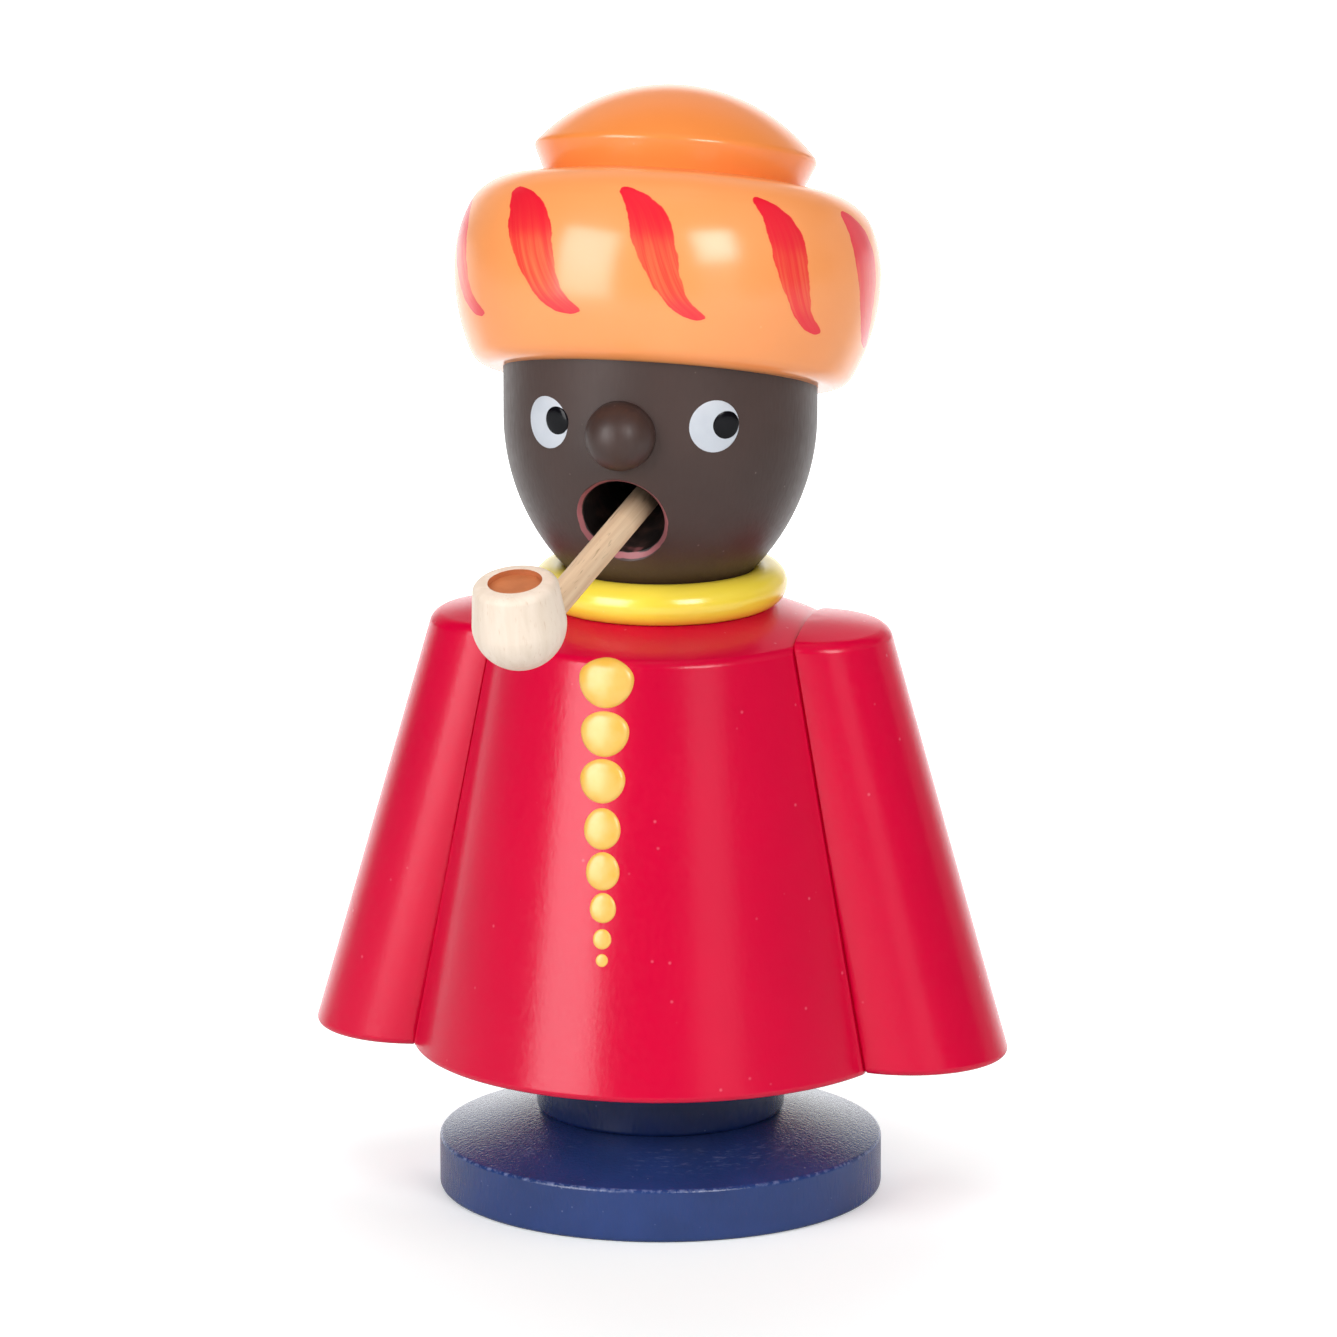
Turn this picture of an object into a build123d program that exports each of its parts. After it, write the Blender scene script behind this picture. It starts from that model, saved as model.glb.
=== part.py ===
from build123d import *
from math import asin, atan2, cos, degrees, hypot, radians, sin, sqrt
import os

# Turned wooden incense smoker: a robed figure with a turban and a pipe, standing on a round base.
# Millimetres, +Z up, origin at the centre of the underside of the base.
# The figure looks along -Y, so its left sleeve is on the +X side.

# Base disc
base_radius = 32.1
base_rim_height = 7.8
base_top_rise = 3.8
base_edge_round = 0.8

# Hub on the base: a short neck, a shoulder that carries the coat, and a spigot
hub_foot_radius = 17.9
hub_top_radius = 18.6
hub_height = 10.1
hub_foot_round = 0.8
hub_seat_margin = 0.6
spigot_radius = 14.75
spigot_height = 8.5
spigot_chamfer = 1.0
hub_dowel_radius = 5.0
hub_dowel_in_base = 7.0
hub_dowel_in_hub = 10.0

# Sheet metal dish for the incense cone, and the two brads that hold it
plate_radius = 12.5
plate_floor_radius = 10.0
plate_rim_rise = 1.6
plate_thickness = 0.5
brad_spacing = 14.0
brad_shank_radius = 0.6
brad_length = 7.0
brad_head_radius = 1.4
brad_head_height = 0.6

# Coat: a hollow turned cone with a flat planed on each side for the sleeves
coat_hem_radius = 36.2
coat_shoulder_radius = 24.8
coat_height = 61.6
coat_top_rise = 3.35
coat_hem_round = 0.8
coat_shoulder_round = 1.5
ring_seat_radius = 16.4
sleeve_flat_depth = 2.8
chamber_height = 45.0
draught_hole_radius = 3.0
draught_hole_height = 14.0
neck_radius = 8.0
neck_height = 9.5
flue_radius = 5.0

# Sleeves: turned cones, planed flat on the inside, sawn level at the hem and domed at the shoulder
sleeve_hem_radius = 14.2
sleeve_shoulder_radius = 11.1
sleeve_hem_offset = 3.3
sleeve_shoulder_offset = 0.3
sleeve_hem_lift = 0.3
sleeve_shoulder_height = 62.9
sleeve_dome_rise = 1.0
sleeve_dome_radius = 46.0
sleeve_hem_round = 0.8
sleeve_shoulder_round = 1.8
sleeve_dowel_radius = 3.0
sleeve_dowel_in_coat = 6.0
sleeve_dowel_in_sleeve = 7.0
sleeve_dowel_heights = (14.0, 47.0)

# Collar ring
ring_radius = 15.3
ring_thickness = 5.9

# Head: an upright egg, sawn off at a slant so that the hat sits back
head_radius = 22.5
head_cheek_radius = 32.0
head_foot_radius = 10.6
head_flue_radius = 6.0
head_flue_height = 15.6
hat_seat_rise = 5.3
hat_tilt = 17.0
mouth_radius = 6.0
mouth_depth = 18.0
mouth_drop = 11.8
mouth_turn = -2.6
mouth_edge_depth = 1.7

# Nose: a turned button on a peg
nose_radius = 4.95
nose_reach = 5.2
nose_rise = 1.35
nose_turn = -1.0
nose_seat_depth = 0.9
nose_peg_radius = 3.0
nose_peg_length = 7.0

# Turban, its crown and the dowel that holds both
turban_foot_radius = 26.3
turban_radius = 30.6
turban_waist_height = 15.5
turban_shoulder_radius = 18.6
turban_shoulder_height = 26.6
turban_height = 28.1
turban_foot_round = 2.4
turban_shoulder_round = 8.0
crown_foot_radius = 18.5
crown_brim_radius = 20.4
crown_brim_height = 4.2
crown_cap_height = 9.8
crown_brim_round = 0.8
turban_seat_margin = 0.5
hat_dowel_radius = 3.0
hat_dowel_in_head = 4.5
hat_dowel_in_crown = 6.0

# Pipe: a straight stem in a socket at the back of the mouth, and a turned bowl
stem_radius = 2.0
stem_reach = 41.7
stem_in_head = 7.0
stem_in_bowl = 4.4
stem_turn = 8.3
stem_drop = 14.0
stem_side = 1.74
stem_rise = 1.65
bowl_radius = 6.6
bowl_waist_height = 3.2
bowl_top_radius = 5.9
bowl_height = 9.6
bowl_rim_round = 1.2
bowl_recess_radius = 3.8
bowl_recess_depth = 0.8

# Fits
spigot_clearance = 0.25
stem_clearance = 0.05
glue_gap = 0.05
dowel_end_gap = 0.4
brad_gap = 0.03
cut_margin = 1.0


# Heights and places that follow from the sizes above
hub_seat_z = base_rim_height + base_top_rise
coat_z = hub_seat_z + hub_height
spigot_top_z = coat_z + spigot_height
shoulder_z = coat_z + coat_height
ring_seat_z = shoulder_z + coat_top_rise
neck_top_z = ring_seat_z + neck_height
chamber_radius = spigot_radius + spigot_clearance
chamber_top_z = coat_z + chamber_height

ring_tube_radius = ring_thickness / 2
ring_z = ring_seat_z + ring_tube_radius

# The cheek is an arc about a point beyond the axis. The head stands where that arc touches the ring.
cheek_centre_r = head_radius - head_cheek_radius
head_z = ring_z + sqrt((head_cheek_radius + ring_tube_radius) ** 2 - (ring_radius - cheek_centre_r) ** 2)
head_foot_z = head_z - sqrt(head_cheek_radius ** 2 - (head_foot_radius - cheek_centre_r) ** 2)
hat_plane = Plane(
    origin=(0, 0, head_z + hat_seat_rise),
    x_dir=(1, 0, 0),
    z_dir=(0, sin(radians(hat_tilt)), cos(radians(hat_tilt))),
)

# The mouth is drilled square to the cheek. Its plane has X to the figure's left, Y up and Z out of the face.
mouth_slope = asin(mouth_drop / head_cheek_radius)
mouth_front = Plane(
    origin=(0, -(cheek_centre_r + head_cheek_radius * cos(mouth_slope)), head_z - mouth_drop),
    x_dir=(1, 0, 0),
    z_dir=(0, -cos(mouth_slope), -sin(mouth_slope)),
)
mouth_plane = Plane(Rot(0, 0, mouth_turn) * mouth_front.location)

# The pipe's plane has its origin where the stem's axis meets the bowl's, X towards the mouth and Z up the bowl.
stem_out = Vector(
    -sin(radians(stem_turn)) * cos(radians(stem_drop)),
    -cos(radians(stem_turn)) * cos(radians(stem_drop)),
    -sin(radians(stem_drop)),
)
stem_start = mouth_plane.from_local_coords(Vector(stem_side, stem_rise, 0))
bowl_side = stem_out.cross(Vector(0, 0, 1)).normalized()
pipe_plane = Plane(
    origin=stem_start + stem_out * stem_reach,
    x_dir=stem_out * -1,
    z_dir=bowl_side.cross(stem_out),
)
stem_depth = mouth_depth / stem_out.dot(mouth_plane.z_dir) + stem_in_head
far = 4 * coat_height


def turned(*outline):
    # Solid turned about Z. The outline's X is a radius and its Y a height.
    edges = [edge for line in outline for edge in line.edges()]
    return revolve(Plane.XZ * make_face(edges), Axis.Z)


def rod(radius, low, high):
    # Round bar along Z between two heights.
    return Pos(0, 0, low) * Cylinder(radius, high - low, align=(Align.CENTER, Align.CENTER, Align.MIN))


def rim(solid, radius, height):
    # The round edge of a turned solid that is nearest to this radius and height.
    rounds = solid.edges().filter_by(GeomType.CIRCLE)
    return rounds.sort_by(lambda edge: hypot(edge.radius - radius, edge.arc_center.Z - height))[0]


def side_plane(side, height):
    # Plane of the flat between coat and sleeve at a height above the hem, with Z outwards.
    slope = atan2(coat_hem_radius - coat_shoulder_radius, coat_height)
    reach = coat_hem_radius - sleeve_flat_depth
    reach -= height * (coat_hem_radius - coat_shoulder_radius) / coat_height
    return Plane(
        origin=(side * reach, 0, coat_z + height),
        x_dir=(0, 1, 0),
        z_dir=(side * cos(slope), 0, sin(slope)),
    )


def outside(plane):
    # All the room in front of a plane.
    return plane.location * Box(far, far, far, align=(Align.CENTER, Align.CENTER, Align.MIN))


def sleeve_dowel_set(side, end_gap, radius_gap):
    # The dowels of one sleeve, or with gaps the holes that they go into.
    low = -sleeve_dowel_in_coat - end_gap
    high = sleeve_dowel_in_sleeve + end_gap
    dowel = rod(sleeve_dowel_radius + radius_gap, low, high)
    return [side_plane(side, height).location * dowel for height in sleeve_dowel_heights]


def hub_dowel_bar(end_gap, radius_gap):
    low = hub_seat_z - hub_dowel_in_base - end_gap
    return rod(hub_dowel_radius + radius_gap, low, hub_seat_z + hub_dowel_in_hub + end_gap)


def hat_dowel_bar(end_gap, radius_gap):
    high = turban_height + hat_dowel_in_crown + end_gap
    return hat_plane.location * rod(hat_dowel_radius + radius_gap, -hat_dowel_in_head - end_gap, high)


def brad_places():
    return [Pos(side * brad_spacing / 2, 0, spigot_top_z + plate_thickness) for side in (-1, 1)]


def base_disc():
    seat_radius = hub_foot_radius + hub_seat_margin
    disc = turned(Polyline(
        (0, 0),
        (base_radius, 0),
        (base_radius, base_rim_height),
        (seat_radius, hub_seat_z),
        (0, hub_seat_z),
        close=True,
    ))
    edges = [rim(disc, base_radius, 0), rim(disc, base_radius, base_rim_height)]
    return fillet(edges, base_edge_round) - hub_dowel_bar(dowel_end_gap, glue_gap)


def base_hub():
    hub = turned(Polyline(
        (0, hub_seat_z),
        (hub_foot_radius, hub_seat_z),
        (hub_top_radius, coat_z),
        (spigot_radius, coat_z),
        (spigot_radius, spigot_top_z),
        (0, spigot_top_z),
        close=True,
    ))
    hub = fillet(rim(hub, hub_foot_radius, hub_seat_z), hub_foot_round)
    hub = chamfer(rim(hub, spigot_radius, spigot_top_z), spigot_chamfer)
    hub -= hub_dowel_bar(dowel_end_gap, glue_gap)
    for place in brad_places():
        hub -= place * rod(brad_shank_radius + brad_gap, -brad_length - dowel_end_gap, 0)
    return hub


def incense_plate():
    floor_z = spigot_top_z
    rim_z = spigot_top_z + plate_rim_rise
    plate = turned(Polyline(
        (0, floor_z),
        (plate_floor_radius, floor_z),
        (plate_radius, rim_z),
        (plate_radius, rim_z + plate_thickness),
        (plate_floor_radius, floor_z + plate_thickness),
        (0, floor_z + plate_thickness),
        close=True,
    ))
    for place in brad_places():
        plate -= place * rod(brad_shank_radius + brad_gap, -plate_thickness - cut_margin, cut_margin)
    return plate


def plate_brads():
    brad = turned(Polyline(
        (0, -brad_length),
        (brad_shank_radius, -brad_length),
        (brad_shank_radius, 0),
        (brad_head_radius, 0),
        (brad_head_radius, brad_head_height),
        (0, brad_head_height),
        close=True,
    ))
    return Compound([place * brad for place in brad_places()])


def torso():
    coat = turned(Polyline(
        (0, coat_z),
        (coat_hem_radius, coat_z),
        (coat_shoulder_radius, shoulder_z),
        (ring_seat_radius, ring_seat_z),
        (neck_radius, ring_seat_z),
        (neck_radius, neck_top_z),
        (0, neck_top_z),
        close=True,
    ))
    coat = fillet(rim(coat, coat_hem_radius, coat_z), coat_hem_round)
    coat = fillet(rim(coat, coat_shoulder_radius, shoulder_z), coat_shoulder_round)
    coat -= rod(chamber_radius, coat_z - cut_margin, chamber_top_z)
    coat -= rod(flue_radius, chamber_top_z - cut_margin, neck_top_z + cut_margin)
    draught = Plane(origin=(0, 0, coat_z + draught_hole_height), z_dir=(0, 1, 0))
    coat -= draught.location * rod(draught_hole_radius, 0, coat_hem_radius + cut_margin)
    for side in (-1, 1):
        coat -= outside(side_plane(side, 0))
        for hole in sleeve_dowel_set(side, dowel_end_gap, glue_gap):
            coat -= hole
    return coat


def sleeve(side):
    low = side_plane(side, sleeve_hem_lift).origin + Vector(side * sleeve_hem_offset, 0, 0)
    high = side_plane(side, sleeve_shoulder_height).origin + Vector(side * sleeve_shoulder_offset, 0, 0)
    axis = high - low
    taper = (sleeve_hem_radius - sleeve_shoulder_radius) / axis.length
    spare = sleeve_hem_radius
    cone = Cone(
        sleeve_hem_radius + spare * taper,
        sleeve_shoulder_radius - spare * taper,
        axis.length + 2 * spare,
        align=(Align.CENTER, Align.CENTER, Align.MIN),
    )
    foot = Plane(origin=low - axis.normalized() * spare, x_dir=(-side, 0, 0), z_dir=axis)
    arm = foot.location * cone
    level = Pos(0, 0, low.Z) * Box(far, far, far, align=(Align.CENTER, Align.CENTER, Align.MIN))
    dome = Pos(high.X, 0, high.Z + sleeve_dome_rise - sleeve_dome_radius) * Sphere(sleeve_dome_radius)
    arm = arm & level & dome & outside(side_plane(side, 0))
    for face, radius in ((Axis.Z, sleeve_shoulder_round), (-Axis.Z, sleeve_hem_round)):
        end = arm.faces().sort_by(face)[-1]
        seam = (GeomType.LINE, GeomType.CIRCLE)
        arm = fillet([edge for edge in end.edges() if edge.geom_type not in seam], radius)
    for hole in sleeve_dowel_set(side, dowel_end_gap, glue_gap):
        arm -= hole
    return arm


def sleeve_dowels():
    return Compound([dowel for side in (-1, 1) for dowel in sleeve_dowel_set(side, 0, 0)])


def collar_ring():
    return Pos(0, 0, ring_z) * Torus(ring_radius, ring_tube_radius)


def stem_bar(start, end, radius):
    # Round bar along the stem, by distances from the bowl's axis towards the mouth.
    along = Plane(origin=pipe_plane.origin, x_dir=pipe_plane.z_dir, z_dir=pipe_plane.x_dir)
    return along.location * rod(radius, start, end)


def nose_plane():
    front = Plane(origin=(0, -head_radius, head_z + nose_rise), x_dir=(1, 0, 0), z_dir=(0, -1, 0))
    return Plane(Rot(0, 0, nose_turn) * front.location)


def mouth_edge():
    # Forty-five degree edge round the mouth, as a cone that opens outwards.
    reach = mouth_edge_depth + mouth_radius
    cone = Cone(mouth_radius, mouth_radius + reach, reach, align=(Align.CENTER, Align.CENTER, Align.MIN))
    return Pos(0, 0, -mouth_edge_depth) * cone


def head():
    head_top_z = hat_plane.origin.Z + head_radius
    cheek_angle = degrees(asin((head_z - head_foot_z) / head_cheek_radius))
    egg = turned(
        Polyline((0, head_top_z), (0, head_foot_z), (head_foot_radius, head_foot_z)),
        CenterArc((cheek_centre_r, head_z), head_cheek_radius, -cheek_angle, cheek_angle),
        Polyline((head_radius, head_z), (head_radius, head_top_z), (0, head_top_z)),
    )
    egg -= outside(hat_plane)
    egg -= hat_dowel_bar(dowel_end_gap, glue_gap)
    egg -= rod(neck_radius + glue_gap, head_foot_z - cut_margin, neck_top_z + dowel_end_gap)
    egg -= rod(head_flue_radius, neck_top_z, head_foot_z + head_flue_height)
    egg -= mouth_plane.location * rod(mouth_radius, -mouth_depth, mouth_radius)
    egg -= mouth_plane.location * mouth_edge()
    egg -= stem_bar(stem_reach, stem_reach + stem_depth + stem_clearance, stem_radius + stem_clearance)
    egg -= nose_plane().location * rod(nose_radius + glue_gap, -nose_seat_depth, nose_radius)
    peg_depth = nose_seat_depth + nose_peg_length + dowel_end_gap
    egg -= nose_plane().location * rod(nose_peg_radius + glue_gap, -peg_depth, 0)
    return egg


def cap_arc(radius, low, high):
    # Round top of a turned piece, from its edge at the lower height to its tip on the axis.
    cap_radius = (radius ** 2 + (high - low) ** 2) / (2 * (high - low))
    centre = high - cap_radius
    edge_angle = degrees(atan2(low - centre, radius))
    return CenterArc((0, centre), cap_radius, edge_angle, 90 - edge_angle)


def nose():
    button = turned(
        Polyline(
            (0, nose_reach),
            (0, -nose_seat_depth - nose_peg_length),
            (nose_peg_radius, -nose_seat_depth - nose_peg_length),
            (nose_peg_radius, -nose_seat_depth),
            (nose_radius, -nose_seat_depth),
            (nose_radius, nose_seat_depth),
        ),
        cap_arc(nose_radius, nose_seat_depth, nose_reach),
    )
    return nose_plane().location * button


def turban():
    lower = ThreePointArc(
        (turban_foot_radius, 0),
        arc_middle(turban_radius, turban_waist_height, turban_foot_radius, 0),
        (turban_radius, turban_waist_height),
    )
    upper_centre_r = turban_radius - turban_shoulder_radius
    upper_angle = degrees(asin((turban_shoulder_height - turban_waist_height) / turban_shoulder_radius))
    upper = CenterArc((upper_centre_r, turban_waist_height), turban_shoulder_radius, 0, upper_angle)
    seat_radius = crown_foot_radius + turban_seat_margin
    roll = turned(
        Polyline((0, turban_height), (0, 0), (turban_foot_radius, 0)),
        lower,
        upper,
        Polyline(upper @ 1, (seat_radius, turban_height), (0, turban_height)),
    )
    roll = fillet(rim(roll, turban_foot_radius, 0), turban_foot_round)
    roll = fillet(rim(roll, (upper @ 1).X, (upper @ 1).Y), turban_shoulder_round)
    return hat_plane.location * roll - hat_dowel_bar(dowel_end_gap, glue_gap)


def arc_middle(waist_radius, waist_height, end_radius, end_height):
    # Middle of the arc that leaves the waist upright and ends at the given point.
    inset = waist_radius - end_radius
    drop = end_height - waist_height
    arc_radius = (inset ** 2 + drop ** 2) / (2 * inset)
    half = asin(drop / arc_radius) / 2
    return waist_radius - arc_radius * (1 - cos(half)), waist_height + arc_radius * sin(half)


def turban_crown():
    top = crown_brim_height + crown_cap_height
    cap = turned(
        Polyline((0, top), (0, 0), (crown_foot_radius, 0), (crown_brim_radius, crown_brim_height)),
        cap_arc(crown_brim_radius, crown_brim_height, top),
    )
    cap = fillet(rim(cap, crown_brim_radius, crown_brim_height), crown_brim_round)
    placed = hat_plane.location * (Pos(0, 0, turban_height) * cap)
    return placed - hat_dowel_bar(dowel_end_gap, glue_gap)


def pipe_stem():
    return stem_bar(bowl_radius - stem_in_bowl, stem_reach + stem_depth, stem_radius)


def pipe_bowl():
    cup = turned(
        CenterArc((0, bowl_waist_height), bowl_radius, -90, 90),
        Polyline(
            (bowl_radius, bowl_waist_height),
            (bowl_top_radius, bowl_height),
            (bowl_recess_radius, bowl_height),
            (bowl_recess_radius, bowl_height - bowl_recess_depth),
            (0, bowl_height - bowl_recess_depth),
            (0, bowl_waist_height - bowl_radius),
        ),
    )
    cup = fillet(rim(cup, bowl_top_radius, bowl_height), bowl_rim_round)
    hole = stem_bar(bowl_radius - stem_in_bowl - dowel_end_gap, bowl_radius + cut_margin, stem_radius + glue_gap)
    return pipe_plane.location * cup - hole


pieces = {
    "base_disc": base_disc(),
    "base_hub": base_hub(),
    "hub_dowel": hub_dowel_bar(0, 0),
    "incense_plate": incense_plate(),
    "plate_brads": plate_brads(),
    "torso": torso(),
    "left_sleeve": sleeve(1),
    "right_sleeve": sleeve(-1),
    "sleeve_dowels": sleeve_dowels(),
    "collar_ring": collar_ring(),
    "head": head(),
    "nose": nose(),
    "turban": turban(),
    "turban_crown": turban_crown(),
    "hat_dowel": hat_dowel_bar(0, 0),
    "pipe_stem": pipe_stem(),
    "pipe_bowl": pipe_bowl(),
}

os.makedirs("parts", exist_ok=True)
for name, piece in pieces.items():
    export_step(piece, f"parts/{name}.step")
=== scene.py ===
import math
from functools import partial
import bmesh
import bpy
from mathutils import Matrix, Vector
from mathutils.bvhtree import BVHTree


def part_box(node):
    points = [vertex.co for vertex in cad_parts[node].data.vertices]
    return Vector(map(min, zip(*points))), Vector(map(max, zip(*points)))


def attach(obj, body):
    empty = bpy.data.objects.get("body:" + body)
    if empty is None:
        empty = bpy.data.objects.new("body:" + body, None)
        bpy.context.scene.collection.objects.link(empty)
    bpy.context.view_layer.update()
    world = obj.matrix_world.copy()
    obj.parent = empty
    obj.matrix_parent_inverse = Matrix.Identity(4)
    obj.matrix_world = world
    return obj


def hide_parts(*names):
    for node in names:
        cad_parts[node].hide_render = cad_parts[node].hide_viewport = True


# Turned wooden incense smoker: a robed figure with a turban and a pipe on a round base
# Pieces are modelled in millimetres and become metres when they are finished
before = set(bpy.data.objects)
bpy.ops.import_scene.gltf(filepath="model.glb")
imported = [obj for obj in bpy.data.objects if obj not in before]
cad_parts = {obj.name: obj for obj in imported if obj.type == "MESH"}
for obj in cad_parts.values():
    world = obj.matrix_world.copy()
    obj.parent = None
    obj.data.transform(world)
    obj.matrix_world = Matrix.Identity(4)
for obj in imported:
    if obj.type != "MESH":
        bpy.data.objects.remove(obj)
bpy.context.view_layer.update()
mm = 0.001
tiny = 0.01  # millimetres within which two places are one
baseBody, figureBody, pipeBody = "base", "figure", "pipe"


def linear(hexColour):
    # sRGB hex to the linear colour that the shaders take
    levels = [int(hexColour[i:i + 2], 16) / 255 for i in (0, 2, 4)]
    return [c / 12.92 if c <= 0.04045 else ((c + 0.055) / 1.055) ** 2.4 for c in levels] + [1.0]


def setInputs(node, inputs):
    # an input takes a value, a hex colour, the socket that feeds it, or a node for the first output in use
    for key, value in inputs.items():
        if isinstance(value, str):
            value = linear(value)
        if isinstance(value, bpy.types.Node):
            value = next(output for output in value.outputs if output.enabled)
        if isinstance(value, bpy.types.NodeSocket):
            node.id_data.links.new(value, node.inputs[key])
        else:
            node.inputs[key].default_value = value


def addNode(tree, kind, inputs=None, **settings):
    node = tree.nodes.new("ShaderNode" + kind)
    for key, value in settings.items():
        setattr(node, key, value)
    setInputs(node, inputs or {})
    return node


def emptyTree(block):
    # empties the nodes of a material or world, and gives the function that adds to them
    block.use_nodes = True
    block.node_tree.nodes.clear()
    return partial(addNode, block.node_tree)


def newMaterial(name):
    # a material with a plain shader, and the place of each point in metres
    material = bpy.data.materials.new(name)
    add = emptyTree(material)
    shader = add("BsdfPrincipled")
    add("OutputMaterial", {"Surface": shader})
    return material, add, shader, add("TexCoord").outputs["Object"]


def perMm(size):
    # texture scale for a pattern of this size in millimetres, on coordinates in metres
    return 1 / (size * mm)


def ownAxes(add, place, pieceFrame):
    # coordinates in a piece's own frame, and the distance from its Z
    local = add("Mapping", {
        "Vector": place, "Location": pieceFrame.translation * mm, "Rotation": pieceFrame.to_euler(),
    }, vector_type="TEXTURE")
    axes = add("SeparateXYZ", {0: local})
    flat = add("CombineXYZ", {0: axes, 1: axes.outputs[1]})
    return axes.outputs, add("VectorMath", {0: flat}, operation="LENGTH")


def span(pair):
    # a pair of levels as the range that a map starts from
    return {1: pair[0], 2: pair[1]}


noiseSpan = (0.3, 0.7)  # the levels that most of a noise lies between
# what all paint films share: pores that show, the share of places without a nib, how far a nib stands out
film = {"pores": (0.25, 0.75), "nibless": 0.55, "nibRise": 0.6}


def paint(name, look):
    # paint on turned wood: an even film with faint cloudiness, dust nibs and the pores of the wood under it
    material, add, shader, place = newMaterial(name)
    cloud = add("TexNoise", {"Vector": place, "Scale": perMm(look["cloudSize"]), "Detail": 3.0})
    tone = add("MapRange", {0: cloud, **span(noiseSpan)})
    colour = add("Mix", {0: tone, 6: look["deep"], 7: look["colour"]}, data_type="RGBA")
    grain = add("Mapping", {"Vector": place, "Scale": (1.0, 1.0, 1 / look["poreStretch"])})
    pores = add("TexNoise", {"Vector": grain, "Scale": perMm(look["poreSize"]), "Detail": 4.0})
    nibs = add("TexVoronoi", {"Vector": place, "Scale": perMm(look["nibSpacing"])})
    nib = add("MapRange", {0: nibs, 1: 0.0, 2: look["nibShare"], 3: 1.0, 4: 0.0})
    lot = add("SeparateColor", {0: nibs.outputs["Color"]})
    chosen = add("Math", {0: lot, 1: film["nibless"]}, operation="GREATER_THAN")
    speck = add("Math", {0: nib, 1: chosen}, operation="MULTIPLY")
    faint = add("Math", {0: speck, 1: look["nibTint"]}, operation="MULTIPLY")
    tinted = add("Mix", {0: faint, 6: colour, 7: look["nibColour"]}, data_type="RGBA")
    shine = add("MapRange", {
        0: pores, **span(film["pores"]),
        3: look["rough"] - look["roughSpread"], 4: look["rough"] + look["roughSpread"],
    })
    height = add("Math", {0: speck, 1: film["nibRise"], 2: pores}, operation="MULTIPLY_ADD")
    bump = add("Bump", {"Height": height, "Strength": look["bump"], "Distance": look["poreDepth"] * mm})
    setInputs(shader, {"Base Color": tinted, "Roughness": shine, "Normal": bump, "IOR": look["ior"]})
    return material, add, shader, place, tinted


def bareWood(name, look):
    # sanded wood: soft growth bands and short dark pores, both along the grain
    material, add, shader, place = newMaterial(name)
    turn = Vector((0, 0, 1)).rotation_difference(Vector(look["grain"])).to_euler()
    along = add("Mapping", {"Vector": place, "Rotation": turn}, vector_type="TEXTURE")
    drawn = add("Mapping", {"Vector": along, "Scale": (1.0, 1.0, 1 / look["bandStretch"])})
    band = add("TexNoise", {
        "Vector": drawn, "Scale": perMm(look["bandSize"]), "Detail": 4.0, "Distortion": look["waver"],
    })
    tone = add("MapRange", {0: band, **span(look["bands"])})
    colour = add("Mix", {0: tone, 6: look["late"], 7: look["early"]}, data_type="RGBA")
    fleck = add("Mapping", {"Vector": along, "Scale": (1.0, 1.0, 1 / look["poreStretch"])})
    pores = add("TexNoise", {"Vector": fleck, "Scale": perMm(look["poreSize"]), "Detail": 2.0})
    dark = add("MapRange", {0: pores, **span(look["pores"]), 4: look["poreTint"]})
    tinted = add("Mix", {0: dark, 6: colour, 7: look["pore"]}, data_type="RGBA")
    # painted shade: the wood darkens from one place on its length to another, for the shadow where it runs
    # into a hole
    length = add("SeparateXYZ", {0: along})
    paintedShade = add("MapRange", {
        0: length.outputs[2], 1: look["shadeFrom"] * mm, 2: look["shadeTo"] * mm, 4: look["shadeTint"],
    })
    shadedWood = add("Mix", {0: paintedShade, 6: tinted, 7: look["paintedShade"]}, data_type="RGBA")
    bump = add("Bump", {
        "Height": pores, "Strength": look["bump"], "Distance": look["poreDepth"] * mm,
    }, invert=True)
    setInputs(shader, {
        "Base Color": shadedWood, "Normal": bump, "Roughness": look["rough"], "IOR": look["ior"],
    })
    return material


# what all drops of enamel share: the levels of noise between their two tones, and their unevenness
dropFilm = {"tones": (0.35, 0.65), "bump": 0.15, "bumpDepth": 0.1}


def thickPaint(name, look):
    # a drop of thick enamel: smooth, a little deeper in tone where the brush left less
    material, add, shader, place = newMaterial(name)
    cloud = add("TexNoise", {"Vector": place, "Scale": perMm(look["cloudSize"]), "Detail": 3.0})
    tone = add("MapRange", {0: cloud, **span(dropFilm["tones"])})
    mixed = add("Mix", {0: tone, 6: look["deep"], 7: look["colour"]}, data_type="RGBA")
    bump = add("Bump", {
        "Height": cloud, "Strength": dropFilm["bump"], "Distance": dropFilm["bumpDepth"] * mm,
    })
    setInputs(shader, {
        "Base Color": mixed, "Normal": bump, "Roughness": look["rough"], "IOR": look["ior"],
    })
    return material


def metal(name, look):
    # bare metal in two tones of one stain, which also sets how dull it is
    material, add, shader, place = newMaterial(name)
    stain = add("TexNoise", {"Vector": place, "Scale": perMm(look["stainSize"]), "Detail": look["detail"]})
    tone = add("Mix", {0: stain, 6: look["deep"], 7: look["colour"]}, data_type="RGBA")
    dullness = add("MapRange", {0: stain, **span(noiseSpan), 3: look["rough"][0], 4: look["rough"][1]})
    setInputs(shader, {"Base Color": tone, "Roughness": dullness, "Metallic": 1.0})
    return material


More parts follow.
